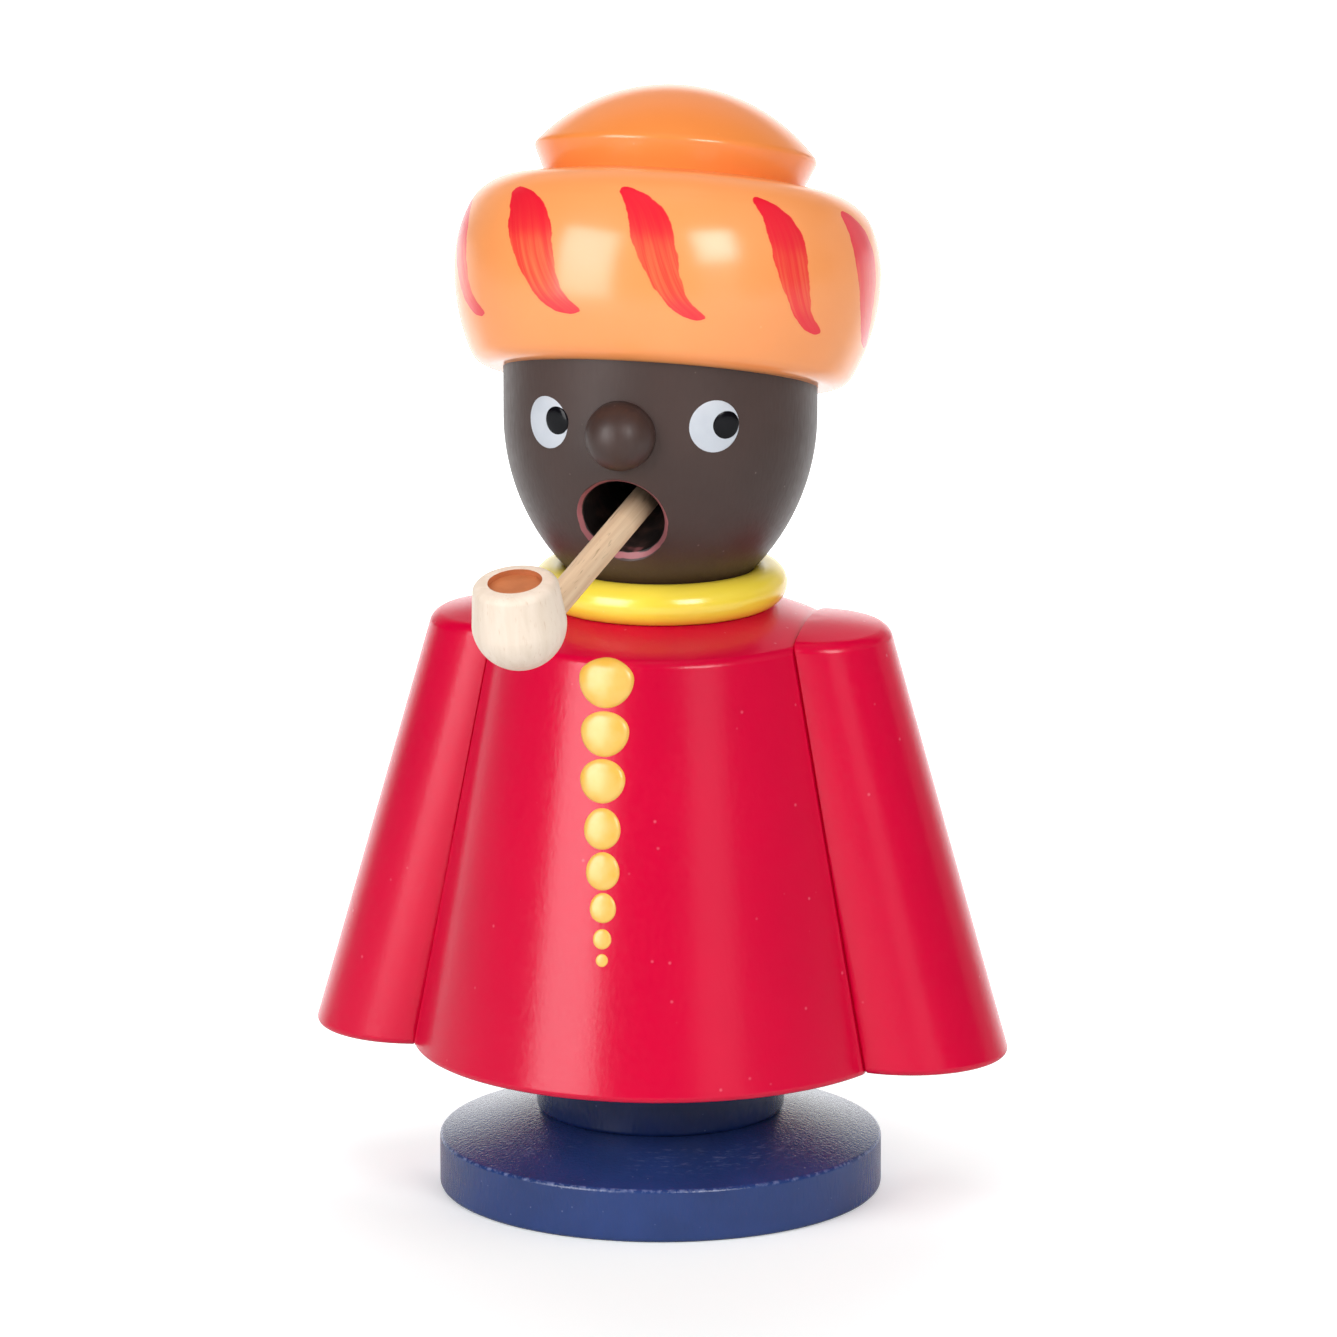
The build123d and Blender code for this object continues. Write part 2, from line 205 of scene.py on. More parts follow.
def turned(outline, steps=192, closed=False):
    # an outline of radii and heights, spun about Z
    bm = bmesh.new()
    ring = [bm.verts.new((radius, 0, height)) for radius, height in outline]
    pairs = list(zip(ring, ring[1:])) + ([(ring[-1], ring[0])] if closed else [])
    line = [bm.edges.new(pair) for pair in pairs]
    bmesh.ops.spin(bm, geom=ring + line, axis=(0, 0, 1), angle=math.tau, steps=steps, use_merge=True)
    bmesh.ops.remove_doubles(bm, verts=bm.verts, dist=1e-4)
    bmesh.ops.recalc_face_normals(bm, faces=bm.faces)
    return bm


def rod(radius, low, high, steps=64):
    return turned([(0, low), (radius, low), (radius, high), (0, high)], steps)


def arc(centre, radius, start, end, count):
    # points on a circle between two angles in degrees, both ends included
    angles = [math.radians(start + (end - start) * i / count) for i in range(count + 1)]
    return [(centre[0] + radius * math.cos(a), centre[1] + radius * math.sin(a)) for a in angles]


def roundRim(bm, radius, height, size, segments=5):
    # softens the round edge at this radius and height
    def onRim(vert):
        return abs(vert.co.xy.length - radius) < tiny and abs(vert.co.z - height) < tiny
    rim = [edge for edge in bm.edges if all(onRim(vert) for vert in edge.verts)]
    bmesh.ops.bevel(bm, geom=rim, offset=size, segments=segments, profile=0.5, affect="EDGES", material=-1)


def sawn(bm, point, normal, chamfer=0.0):
    # saws off what lies beyond a plane; a chamfer leaves the flat on the plane with a broken edge round it
    normal = Vector(normal).normalized()
    cut = bmesh.ops.bisect_plane(
        bm, geom=bm.verts[:] + bm.edges[:] + bm.faces[:], plane_co=Vector(point) - normal * chamfer,
        plane_no=normal, clear_outer=True, dist=1e-5,
    )
    loop = [part for part in cut["geom_cut"] if isinstance(part, bmesh.types.BMEdge)]
    flat = bmesh.ops.contextual_create(bm, geom=loop)["faces"]
    bmesh.ops.recalc_face_normals(bm, faces=bm.faces)
    if chamfer:
        bmesh.ops.inset_region(
            bm, faces=flat, thickness=chamfer, depth=chamfer, use_boundary=True, use_even_offset=True,
        )


def facing(origin, outward, across=(1, 0, 0)):
    # places a piece that was turned about Z so that its Z points outward
    z = Vector(outward).normalized()
    x = (Vector(across) - z * z.dot(Vector(across))).normalized()
    return Matrix.Translation(origin) @ Matrix((x, z.cross(x), z)).transposed().to_4x4()


def placed(bm, matrix):
    bmesh.ops.transform(bm, matrix=matrix, verts=bm.verts)
    return bm


def carved(bm, *cutters):
    # takes the cutters' shapes out of a piece, one after the other
    def looseObject(shape, name):
        mesh = bpy.data.meshes.new(name)
        shape.to_mesh(mesh)
        shape.free()
        thing = bpy.data.objects.new(name, mesh)
        bpy.context.scene.collection.objects.link(thing)
        return thing
    blank = looseObject(bm, "blank")
    tools = [looseObject(cutter, "tool") for cutter in cutters]
    for tool in tools:
        step = blank.modifiers.new("carve", "BOOLEAN")
        step.operation = "DIFFERENCE"
        step.solver = "EXACT"
        step.object = tool
    depsgraph = bpy.context.evaluated_depsgraph_get()
    result = bpy.data.meshes.new_from_object(blank.evaluated_get(depsgraph))
    shape = bmesh.new()
    shape.from_mesh(result)
    for thing in [blank] + tools:
        bpy.data.meshes.remove(thing.data)
    bpy.data.meshes.remove(result)
    return shape


def joined(shapes):
    whole = bmesh.new()
    for shape in shapes:
        mesh = bpy.data.meshes.new("part")
        shape.to_mesh(mesh)
        shape.free()
        whole.from_mesh(mesh)
        bpy.data.meshes.remove(mesh)
    return whole


def finishPiece(bm, name, body, materials, nodes=(), sharp=38):
    # metres, smooth shading with crisp corners, and its place on a body
    bmesh.ops.scale(bm, vec=(mm, mm, mm), verts=bm.verts)
    mesh = bpy.data.meshes.new(name)
    bm.to_mesh(mesh)
    bm.free()
    for material in materials:
        mesh.materials.append(material)
    mesh.shade_smooth()
    mesh.set_sharp_from_angle(angle=math.radians(sharp))
    piece = bpy.data.objects.new(name, mesh)
    bpy.context.scene.collection.objects.link(piece)
    even = piece.modifiers.new("evenNormals", "WEIGHTED_NORMAL")
    even.keep_sharp = True
    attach(piece, body)
    if nodes:
        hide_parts(*nodes)
    return piece


def boxMm(node):
    low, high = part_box(node)
    return low / mm, high / mm


def roundAt(azimuth):
    # level direction on the figure, in degrees from its front towards the viewer's right
    return Vector((math.sin(math.radians(azimuth)), -math.cos(math.radians(azimuth)), 0))


# Beech for dowels and the bare insides: tan with fine dark flecks
beechLook = {
    "grain": (0, 0, 1), "early": "dcb98c", "late": "c99f6d", "bandSize": 2.2, "bandStretch": 14.0,
    "bands": (0.32, 0.68), "waver": 0.6, "pore": "8a6238", "poreSize": 0.35, "poreStretch": 7.0,
    "pores": (0.62, 0.74), "poreTint": 0.6, "poreDepth": 0.05, "bump": 0.4, "rough": 0.6, "ior": 1.45,
    "paintedShade": "3d2c20", "shadeTint": 0.0, "shadeFrom": 0.0, "shadeTo": 1.0,
}
beech = bareWood("sandedBeech", beechLook)


# Round base
baseDisc = {
    "rimHeight": 7.8, "footBevel": 0.8, "rimBevel": 0.5, "seatRadius": 18.5,
    "dowelHole": 5.05, "dowelDepth": 7.4,
}
baseHub = {
    "footRadius": 17.9, "footBevel": 0.8, "spigotRadius": 14.75, "spigotBevel": 1.0,
    "dowelHole": 5.05, "dowelDepth": 10.4,
}
# Dark blue paint: one thin coat, so the grain stands through and the edge is rubbed pale
blueLook = {
    "colour": "28407b", "deep": "23396e", "cloudSize": 9.0,
    "poreSize": 0.5, "poreStretch": 4.0, "poreDepth": 0.1,
    "bump": 0.9, "nibSpacing": 1.7, "nibShare": 0.1, "nibColour": "7482b4", "nibTint": 0.5,
    "rough": 0.2, "roughSpread": 0.04, "ior": 1.5,
}
# painted shade: the neck under the coat takes a darker blue for the coat's shadow on it
shadedNeckLook = dict(blueLook, colour="182a5c", deep="142450", ior=1.36)
baseWear = {
    "edgeIn": 0.1, "edgeDown": 0.05, "edgeFull": 0.1, "edgeReach": 0.4, "edgeColour": "8f9bc6",
    "edgeBreak": 1.0, "edgeChips": (0.46, 0.7), "edgeTint": 0.6, "scuffColour": "6a749e", "scuffSize": 0.7,
    "scuffStretch": 5.0, "scuffs": (0.52, 0.75), "scuffTint": 0.8, "scuffFrom": 20.0, "scuffTo": 29.0,
    "scuffFade": 3.0, "patchSize": 14.0, "patches": (0.42, 0.62),
}


def blueBasePaint():
    material, add, shader, place, colour = paint("darkBluePaintOnBeech", blueLook)
    wear, radius = baseWear, boxMm("base_disc")[1].x
    axes, reach = ownAxes(add, place, Matrix.Identity(4))
    # rubbed edge: how near a point is to the rim's upper corner, broken up by noise
    corner = ((radius - wear["edgeIn"]) * mm, (baseDisc["rimHeight"] - wear["edgeDown"]) * mm, 0)
    outline = add("CombineXYZ", {0: reach, 1: axes[2]})
    edge = add("VectorMath", {0: outline, 1: corner}, operation="DISTANCE")
    chips = add("TexNoise", {
        "Vector": place, "Scale": perMm(wear["edgeBreak"]), "Detail": 4.0, "Roughness": 0.6,
    })
    chip = add("MapRange", {0: chips, **span(wear["edgeChips"])})
    near = add("MapRange", {
        0: edge, 1: wear["edgeReach"] * mm, 2: wear["edgeFull"] * mm, 4: wear["edgeTint"],
    })
    rubbed = add("Math", {0: chip, 1: near}, operation="MULTIPLY")
    # dull scuffs round the sloping top, drawn out along the turning
    angle = add("Math", {0: axes[0], 1: axes[1]}, operation="ARCTAN2")
    drawn = add("Math", {0: angle, 1: radius * mm / wear["scuffStretch"]}, operation="MULTIPLY")
    band = add("CombineXYZ", {0: reach, 1: drawn})
    scuffs = add("TexNoise", {
        "Vector": band, "Scale": perMm(wear["scuffSize"]), "Detail": 6.0, "Roughness": 0.65,
    })
    rubbing = add("MapRange", {0: scuffs, **span(wear["scuffs"]), 4: wear["scuffTint"]})
    patches = add("TexNoise", {"Vector": place, "Scale": perMm(wear["patchSize"]), "Detail": 2.0})
    patch = add("MapRange", {0: patches, **span(wear["patches"])})
    start, end, fade = wear["scuffFrom"], wear["scuffTo"], wear["scuffFade"]
    inner = add("MapRange", {0: reach, 1: start * mm, 2: (start + fade) * mm})
    outer = add("MapRange", {0: reach, 1: end * mm, 2: (end - fade) * mm})
    zone = add("Math", {0: inner, 1: outer}, operation="MULTIPLY")
    patchy = add("Math", {0: zone, 1: patch}, operation="MULTIPLY")
    scuff = add("Math", {0: rubbing, 1: patchy}, operation="MULTIPLY")
    dull = add("Mix", {0: scuff, 6: colour, 7: wear["scuffColour"]}, data_type="RGBA")
    pale = add("Mix", {0: rubbed, 6: dull, 7: wear["edgeColour"]}, data_type="RGBA")
    setInputs(shader, {"Base Color": pale})
    return material


def buildBase():
    # the hub's darker blue is painted shade under the coat
    blue, shadedBlue = blueBasePaint(), paint("darkBluePaintWithPaintedShade", shadedNeckLook)[0]
    low, high = boxMm("base_disc")
    seat, hole = high.z, baseDisc["dowelHole"]
    disc = turned([
        (0, low.z), (high.x, low.z), (high.x, baseDisc["rimHeight"]), (baseDisc["seatRadius"], seat),
        (hole, seat), (hole, seat - baseDisc["dowelDepth"]), (0, seat - baseDisc["dowelDepth"]),
    ])
    roundRim(disc, high.x, low.z, baseDisc["footBevel"])
    roundRim(disc, high.x, baseDisc["rimHeight"], baseDisc["rimBevel"])
    finishPiece(disc, "baseDisc", baseBody, [blue], ["base_disc"])
    low, high = boxMm("base_hub")
    coatSeat = boxMm("torso")[0].z
    hole, top = baseHub["dowelHole"], low.z + baseHub["dowelDepth"]
    hub = turned([
        (0, top), (hole, top), (hole, low.z), (baseHub["footRadius"], low.z), (high.x, coatSeat),
        (baseHub["spigotRadius"], coatSeat), (baseHub["spigotRadius"], high.z), (0, high.z),
    ])
    roundRim(hub, baseHub["footRadius"], low.z, baseHub["footBevel"])
    roundRim(hub, baseHub["spigotRadius"], high.z, baseHub["spigotBevel"], segments=1)
    for face in hub.faces:  # the spigot above the coat's seat is bare wood
        face.material_index = int(face.calc_center_median().z > coatSeat + tiny)
    finishPiece(hub, "baseHub", baseBody, [shadedBlue, beech], ["base_hub"])


# Incense dish and its brads
dish = {"floorRadius": 10.0, "thickness": 0.5, "bendBevel": 0.6}
# Pressed tinplate: dull grey metal with a soft drawn sheen
tinLook = {"deep": "8f8c86", "colour": "c9c8c4", "stainSize": 4.0, "detail": 5.0, "rough": (0.28, 0.5)}
# Brass plated steel: warm metal with a slightly cloudy polish
brassLook = {"deep": "a8843c", "colour": "d8b664", "stainSize": 0.8, "detail": 3.0, "rough": (0.3, 0.3)}


def buildDish():
    low, high = boxMm("incense_plate")
    floor, thick = dish["floorRadius"], dish["thickness"]
    plate = turned([
        (0, low.z), (floor, low.z), (high.x, high.z - thick), (high.x, high.z),
        (floor, low.z + thick), (0, low.z + thick),
    ], steps=128)
    roundRim(plate, floor, low.z, dish["bendBevel"], segments=3)
    roundRim(plate, floor, low.z + thick, dish["bendBevel"], segments=3)
    tinplate = metal("pressedTinplate", tinLook)
    finishPiece(plate, "incenseDish", baseBody, [tinplate], ["incense_plate"])


# Coat and sleeves
coat = {
    "hemRadius": 36.2, "shoulderRadius": 24.8, "height": 61.6, "topRise": 3.35,
    "hemBevel": 1.0, "shoulderBevel": 0.9, "ringSeat": 16.4, "neckRadius": 8.0, "flueRadius": 5.0,
    "chamberRadius": 15.0, "chamberHeight": 45.0, "flatDepth": 2.8, "seamChamfer": 0.35,
    "draughtRadius": 3.0, "draughtHeight": 14.0, "draughtSpare": 5.0, "bareMargin": 0.1, "boreMargin": 0.05,
    "dowelRadius": 3.05, "dowelDepth": 6.4, "dowelHeights": (14.0, 47.0),
}
sleeve = {
    "hemRadius": 14.2, "shoulderRadius": 11.1, "hemOffset": 3.3, "shoulderOffset": 0.3, "hemLift": 0.3,
    "shoulderHeight": 62.9, "hemBevel": 1.1, "shoulderBevel": 1.3, "capInset": 3.0, "capStep": 1.4,
    "capSteps": 5, "domeRise": 1.0, "domeRadius": 46.0, "domeBack": 1.2, "dowelDepth": 7.4,
}
# Crimson lacquer: sprayed satin film on beech, so soft wide highlights and a faint orange peel
crimsonLook = {
    "colour": "da0038", "deep": "d20036", "cloudSize": 30.0,
    "poreSize": 0.6, "poreStretch": 2.0, "poreDepth": 0.05,
    "bump": 0.4, "nibSpacing": 3.4, "nibShare": 0.09, "nibColour": "f27a90", "nibTint": 0.6,
    "rough": 0.23, "roughSpread": 0.04, "ior": 1.42,
}
crimson = paint("crimsonLacquerOnBeech", crimsonLook)[0]


def coatFlat(side, height):
    # point and outward normal of the flat between coat and sleeve, at a height above the hem
    fall = (coat["hemRadius"] - coat["shoulderRadius"]) / coat["height"]
    reach = coat["hemRadius"] - coat["flatDepth"] - height * fall
    return Vector((side * reach, 0, boxMm("torso")[0].z + height)), Vector((side, 0, fall)).normalized()


def dowelHoles(side, depth):
    places = [facing(*coatFlat(side, height), (0, 1, 0)) for height in coat["dowelHeights"]]
    return [placed(rod(coat["dowelRadius"], -depth, depth), place) for place in places]


def buildCoat():
    low, high = boxMm("torso")
    shoulder, roof = low.z + coat["height"], low.z + coat["chamberHeight"]
    ringSeat, draughtZ = shoulder + coat["topRise"], low.z + coat["draughtHeight"]
    body = turned([
        (coat["chamberRadius"], low.z), (coat["hemRadius"], low.z), (coat["shoulderRadius"], shoulder),
        (coat["ringSeat"], ringSeat), (coat["neckRadius"], ringSeat), (coat["neckRadius"], high.z),
        (coat["flueRadius"], high.z), (coat["flueRadius"], roof), (coat["chamberRadius"], roof),
    ], closed=True)
    roundRim(body, coat["hemRadius"], low.z, coat["hemBevel"])
    roundRim(body, coat["shoulderRadius"], shoulder, coat["shoulderBevel"])
    for side in (-1, 1):
        sawn(body, *coatFlat(side, 0), coat["seamChamfer"])
    draught = rod(coat["draughtRadius"], coat["flueRadius"], coat["hemRadius"] + coat["draughtSpare"])
    placed(draught, facing((0, 0, draughtZ), (0, 1, 0)))
    holes = dowelHoles(-1, coat["dowelDepth"]) + dowelHoles(1, coat["dowelDepth"])
    body = carved(body, draught, *holes)
    for face in body.faces:  # the chamber, the flue, the neck and the draught hole stay bare
        middle = face.calc_center_median()
        reach, hole = middle.xy.length - coat["bareMargin"], math.hypot(middle.x, middle.z - draughtZ)
        neck = reach < coat["neckRadius"]
        chamber = reach < coat["chamberRadius"] and middle.z < roof + coat["bareMargin"]
        bored = hole < coat["draughtRadius"] + coat["boreMargin"] and middle.y > 0
        face.material_index = int(neck or chamber or bored)
    surface = BVHTree.FromBMesh(body)
    finishPiece(body, "coat", figureBody, [crimson, beech], ["torso"])
    return surface


def buildSleeve(side, name, node):
    foot = coatFlat(side, sleeve["hemLift"])[0] + Vector((side * sleeve["hemOffset"], 0, 0))
    top = coatFlat(side, sleeve["shoulderHeight"])[0] + Vector((side * sleeve["shoulderOffset"], 0, 0))
    length, spare = (top - foot).length, sleeve["hemRadius"]
    taper = (sleeve["hemRadius"] - sleeve["shoulderRadius"]) / length
    arm = turned([
        (0, -spare), (sleeve["hemRadius"] + spare * taper, -spare),
        (sleeve["shoulderRadius"] - spare * taper, length + spare), (0, length + spare),
    ], steps=160)
    placed(arm, facing(foot, top - foot, (0, 1, 0)))
    sawn(arm, foot, (0, 0, -1))
    sawn(arm, top, (0, 0, 1))
    cap = max(arm.faces, key=lambda face: face.calc_center_median().z)
    shoulder = list(cap.edges)
    bmesh.ops.inset_region(arm, faces=[cap], thickness=sleeve["capInset"], use_even_offset=True)
    for i in range(sleeve["capSteps"]):
        bmesh.ops.inset_region(arm, faces=[cap], thickness=sleeve["capStep"], use_even_offset=True)
    domeFoot = sleeve["domeRise"] - sleeve["domeRadius"]
    for vert in arm.verts:  # the flat top swells into a shallow dome
        if vert.co.z > top.z - tiny:
            reach = (vert.co - top - Vector((0, sleeve["domeBack"], 0))).xy.length
            vert.co.z += math.sqrt(sleeve["domeRadius"] ** 2 - reach ** 2) + domeFoot
    hem = [edge for edge in arm.edges if all(abs(vert.co.z - foot.z) < tiny for vert in edge.verts)]
    for rim, size in ((hem, sleeve["hemBevel"]), (shoulder, sleeve["shoulderBevel"])):
        bmesh.ops.bevel(arm, geom=rim, offset=size, segments=6, profile=0.5, affect="EDGES", material=-1)
    point, outward = coatFlat(side, 0)
    sawn(arm, point, -outward, coat["seamChamfer"])
    arm = carved(arm, *dowelHoles(side, sleeve["dowelDepth"]))
    finishPiece(arm, name, figureBody, [crimson], [node])


# Painted buttons: a row of yellow drops that shrink downwards
buttons = {
    "azimuths": (-4.3, -3.8, -3.7, -3.0, -2.25, -1.7, -1.5, -1.3),  # the row is set by eye and wanders
    "heights": (80.9, 73.6, 66.85, 59.75, 53.85, 48.75, 44.5, 41.6),  # of each middle above the floor
    "widths": (8.2, 7.2, 6.7, 5.4, 4.95, 3.85, 2.7, 1.8),
    "upper": (0.68, 0.77, 0.85, 1.15, 1.16, 1.18, 1.1, 1.0),  # share of half the width that it rises
    "thickness": 0.09,
    "paint": {"colour": "f4c464", "deep": "f0b848", "cloudSize": 3.0, "rough": 0.27, "ior": 1.6},
}
# a drop of paint in outline: radius as a share of its half width, height as a share of its thickness
dropOutline = [
    (0, 1), (0.3, 0.98), (0.55, 0.9), (0.75, 0.76), (0.88, 0.56), (0.96, 0.3), (1, 0),
    (0.97, -0.4), (0, -0.4),
]


def paintDrop(surface, azimuth, height, width, thickness, upper=1.0):
    # a drop laid on a surface, as it is seen from well outside
    drop, outward = turned(dropOutline, steps=48), roundAt(azimuth)
    place = facing(outward * 2 * coat["hemRadius"] + Vector((0, 0, height)), outward)
    for vert in drop.verts:
        rise = vert.co.y * (upper if vert.co.y > 0 else 1.0)
        start = place @ Vector((vert.co.x * width / 2, rise * width / 2, 0))
        hit, normal = surface.ray_cast(start, -outward)[:2]
        vert.co = hit + normal * vert.co.z * thickness
    return drop


def buildButtons(surface):
    drops = []
    row = zip(buttons["azimuths"], buttons["heights"], buttons["widths"], buttons["upper"])
    for azimuth, height, width, upper in row:
        drops.append(paintDrop(surface, azimuth, height, width, width * buttons["thickness"], upper))
    enamel = thickPaint("yellowPaintDrops", buttons["paint"])
    finishPiece(joined(drops), "coatButtons", figureBody, [enamel])


collarSteps = 48
# Collar ring in yellow gloss enamel: thick and smooth, so small bright highlights
yellowLook = {
    "colour": "fee24c", "deep": "fcdd44", "cloudSize": 20.0,
    "poreSize": 1.2, "poreStretch": 1.0, "poreDepth": 0.02,
    "bump": 0.03, "nibSpacing": 4.0, "nibShare": 0.05, "nibColour": "fff0a0", "nibTint": 0.3,
    "rough": 0.22, "roughSpread": 0.02, "ior": 1.7,
}


def buildCollar():
    low, high = boxMm("collar_ring")
    tube = (high.z - low.z) / 2
    lastAngle = 360 - 360 / collarSteps
    ring = turned(arc((high.x - tube, low.z + tube), tube, 0, lastAngle, collarSteps - 1), closed=True)
    enamel = paint("yellowGlossEnamel", yellowLook)[0]
    finishPiece(ring, "collarRing", figureBody, [enamel], ["collar_ring"])


# Places on the head: the hat's seat, the mouth, the nose and the pipe
head = {
    "radius": 22.5, "cheekRadius": 32.0, "equator": 114.2296, "footRadius": 10.6, "flueRadius": 6.0,
    "flueHeight": 15.6, "neckHole": 8.05, "neckGap": 0.4, "hatRise": 5.3, "hatTilt": 17.0, "spare": 2.0,
}
# the mouth's darkest colour is painted shade for its bore
mouth = {
    "radius": 6.0, "depth": 18.0, "drop": 11.8, "turn": -2.6, "edge": 1.7, "boreSpare": 1.0,
    "lipFrom": 6.1, "lipTo": 6.7, "lipDepth": 3.0, "lipSoft": 0.05, "lipShake": 0.1, "shakeSize": 2.5,
    "lipColour": "a45f64", "boreShadeColour": "1d1615",
}
nose = {
    "radius": 4.95, "reach": 5.2, "rise": 1.35, "turn": -1.0, "seatDepth": 0.9,
    "pegRadius": 3.0, "pegLength": 7.0,
}
pipe = {
    "stemRadius": 2.0, "reach": 41.7, "turn": 8.3, "drop": 14.0, "side": 1.74, "rise": 1.65,
    "stemInHead": 7.0, "stemInBowl": 4.4,
    "bowlRadius": 6.6, "bowlWaist": 3.2, "bowlTop": 5.9, "bowlHeight": 9.6, "bowlSpare": 2.0,
    "rimBevel": 1.1, "fillRadius": 3.8, "fillDepth": 0.8, "shadeFrom": 4.4, "shadeTo": -1.6,
    "fill": {"colour": "cc7a4a", "deep": "bf6f42", "cloudSize": 3.0, "rough": 0.6, "ior": 1.5},
}
glueGap, endGap = 0.05, 0.4
hatTilt, mouthSlope = math.radians(head["hatTilt"]), math.asin(mouth["drop"] / head["cheekRadius"])
hatPlace = facing((0, 0, head["equator"] + head["hatRise"]), (0, math.sin(hatTilt), math.cos(hatTilt)))
mouthReach = head["radius"] - head["cheekRadius"] * (1 - math.cos(mouthSlope))
mouthOut = roundAt(mouth["turn"]) * math.cos(mouthSlope) - Vector((0, 0, math.sin(mouthSlope)))
mouthPlace = facing(
    roundAt(mouth["turn"]) * mouthReach + Vector((0, 0, head["equator"] - mouth["drop"])),
    mouthOut, roundAt(mouth["turn"] + 90),
)
nosePlace = facing(
    roundAt(nose["turn"]) * head["radius"] + Vector((0, 0, head["equator"] + nose["rise"])),
    roundAt(nose["turn"]),
)
stemDrop = math.radians(pipe["drop"])
stemOut = roundAt(-pipe["turn"]) * math.cos(stemDrop) - Vector((0, 0, math.sin(stemDrop)))
bowlCentre = mouthPlace @ Vector((pipe["side"], pipe["rise"], 0)) + stemOut * pipe["reach"]
bowlUp = stemOut.cross(Vector((0, 0, 1))).cross(stemOut)
stemPlace = facing(bowlCentre, -stemOut, bowlUp)
bowlPlace = facing(bowlCentre, bowlUp, -stemOut)
stemEnd = pipe["reach"] + mouth["depth"] / stemOut.dot(mouthOut) + pipe["stemInHead"]

# Dark brown stain: dull and thin, so the sanded wood keeps a matt skin
brownLook = {
    "colour": "44302b", "deep": "3e2b26", "cloudSize": 12.0,
    "poreSize": 0.5, "poreStretch": 4.0, "poreDepth": 0.05,
    "bump": 0.35, "nibSpacing": 2.6, "nibShare": 0.08, "nibColour": "8a7672", "nibTint": 0.5,
    "rough": 0.46, "roughSpread": 0.06, "ior": 1.5,
}


def faceStainWithBoreShade():
    # the head's stain with a pink line of paint round the drilled mouth, and painted shade in the bore
    material, add, shader, place, colour = paint("darkBrownStainWithBoreShade", brownLook)
    axes, reach = ownAxes(add, place, mouthPlace)
    lipFrom, lipTo, soft, shake = mouth["lipFrom"], mouth["lipTo"], mouth["lipSoft"], mouth["lipShake"]
    wobble = add("TexNoise", {"Vector": place, "Scale": perMm(mouth["shakeSize"]), "Detail": 2.0})
    shaky = add("MapRange", {0: wobble, **span(noiseSpan), 3: -shake * mm, 4: shake * mm})
    line = add("Math", {0: reach, 1: shaky}, operation="ADD")
    outer = add("MapRange", {0: line, 1: (lipTo + soft) * mm, 2: (lipTo - soft) * mm})
    inner = add("MapRange", {0: line, 1: (lipFrom - soft) * mm, 2: (lipFrom + soft) * mm})
    near = add("Math", {0: axes[2], 1: -mouth["lipDepth"] * mm}, operation="GREATER_THAN")
    ring = add("Math", {0: outer, 1: inner}, operation="MULTIPLY")
    lip = add("Math", {0: ring, 1: near}, operation="MULTIPLY")
    # painted shade: the bore's walls take a near black colour for the shade deep in the hole
    within = add("MapRange", {0: line, 1: lipFrom * mm, 2: (lipFrom - 2 * soft) * mm})
    back = -(mouth["depth"] + mouth["boreSpare"]) * mm
    front = add("Math", {0: axes[2], 1: back}, operation="GREATER_THAN")
    bore = add("Math", {0: within, 1: front}, operation="MULTIPLY")
    dark = add("Mix", {0: bore, 6: colour, 7: mouth["boreShadeColour"]}, data_type="RGBA")
    pink = add("Mix", {0: lip, 6: dark, 7: mouth["lipColour"]}, data_type="RGBA")
    setInputs(shader, {"Base Color": pink})
    return material


def buildHead(stain):
    low, high = boxMm("head")
    centre = (head["radius"] - head["cheekRadius"], head["equator"])
    cheek = math.degrees(math.asin((head["equator"] - low.z) / head["cheekRadius"]))
    socketTop, flueTop = boxMm("torso")[1].z + head["neckGap"], low.z + head["flueHeight"]
    flue, neck, above = head["flueRadius"], head["neckHole"], high.z + head["spare"]
    egg = turned([
        (0, flueTop), (flue, flueTop), (flue, socketTop), (neck, socketTop), (neck, low.z),
        (head["footRadius"], low.z),
    ] + arc(centre, head["cheekRadius"], -cheek, 0, count=28)[1:] + [(head["radius"], above), (0, above)])
    sawn(egg, hatPlace.translation, hatPlace.col[2].xyz)
    bore, depth, edge = mouth["radius"], mouth["depth"], mouth["edge"]
    drill = turned([
        (0, -depth), (bore, -depth), (bore, -edge), (2 * bore, bore - edge), (0, bore - edge),
    ], steps=128)
    seatDepth, peg, brim = nose["seatDepth"], nose["pegRadius"] + glueGap, nose["radius"] + glueGap
    pegEnd, reach = seatDepth + nose["pegLength"] + endGap, nose["reach"]
    seat = turned([
        (0, -pegEnd), (peg, -pegEnd), (peg, -seatDepth), (brim, -seatDepth), (brim, reach), (0, reach),
    ], steps=96)
    hatHole = rod(hat["dowelHole"], -hat["dowelInHead"], hat["waist"])
    socket = rod(pipe["stemRadius"] + glueGap, pipe["reach"], stemEnd + glueGap)
    egg = carved(
        egg, placed(drill, mouthPlace), placed(seat, nosePlace), placed(hatHole, hatPlace),
        placed(socket, stemPlace),
    )
    surface = BVHTree.FromBMesh(egg)
    finishPiece(egg, "head", figureBody, [stain], ["head"])
    return surface


def buildNose(stain):
    foot, reach, wide = nose["seatDepth"], nose["reach"], nose["radius"]
    dome = (wide ** 2 + (reach - foot) ** 2) / (2 * (reach - foot))
    start = math.degrees(math.atan2(foot - reach + dome, wide))
    button = turned([
        (0, -foot - nose["pegLength"]), (nose["pegRadius"], -foot - nose["pegLength"]),
        (nose["pegRadius"], -foot), (wide, -foot),
    ] + arc((0, reach - dome), dome, start, 90, count=24), steps=96)
    finishPiece(placed(button, nosePlace), "nose", figureBody, [stain], ["nose"], sharp=50)


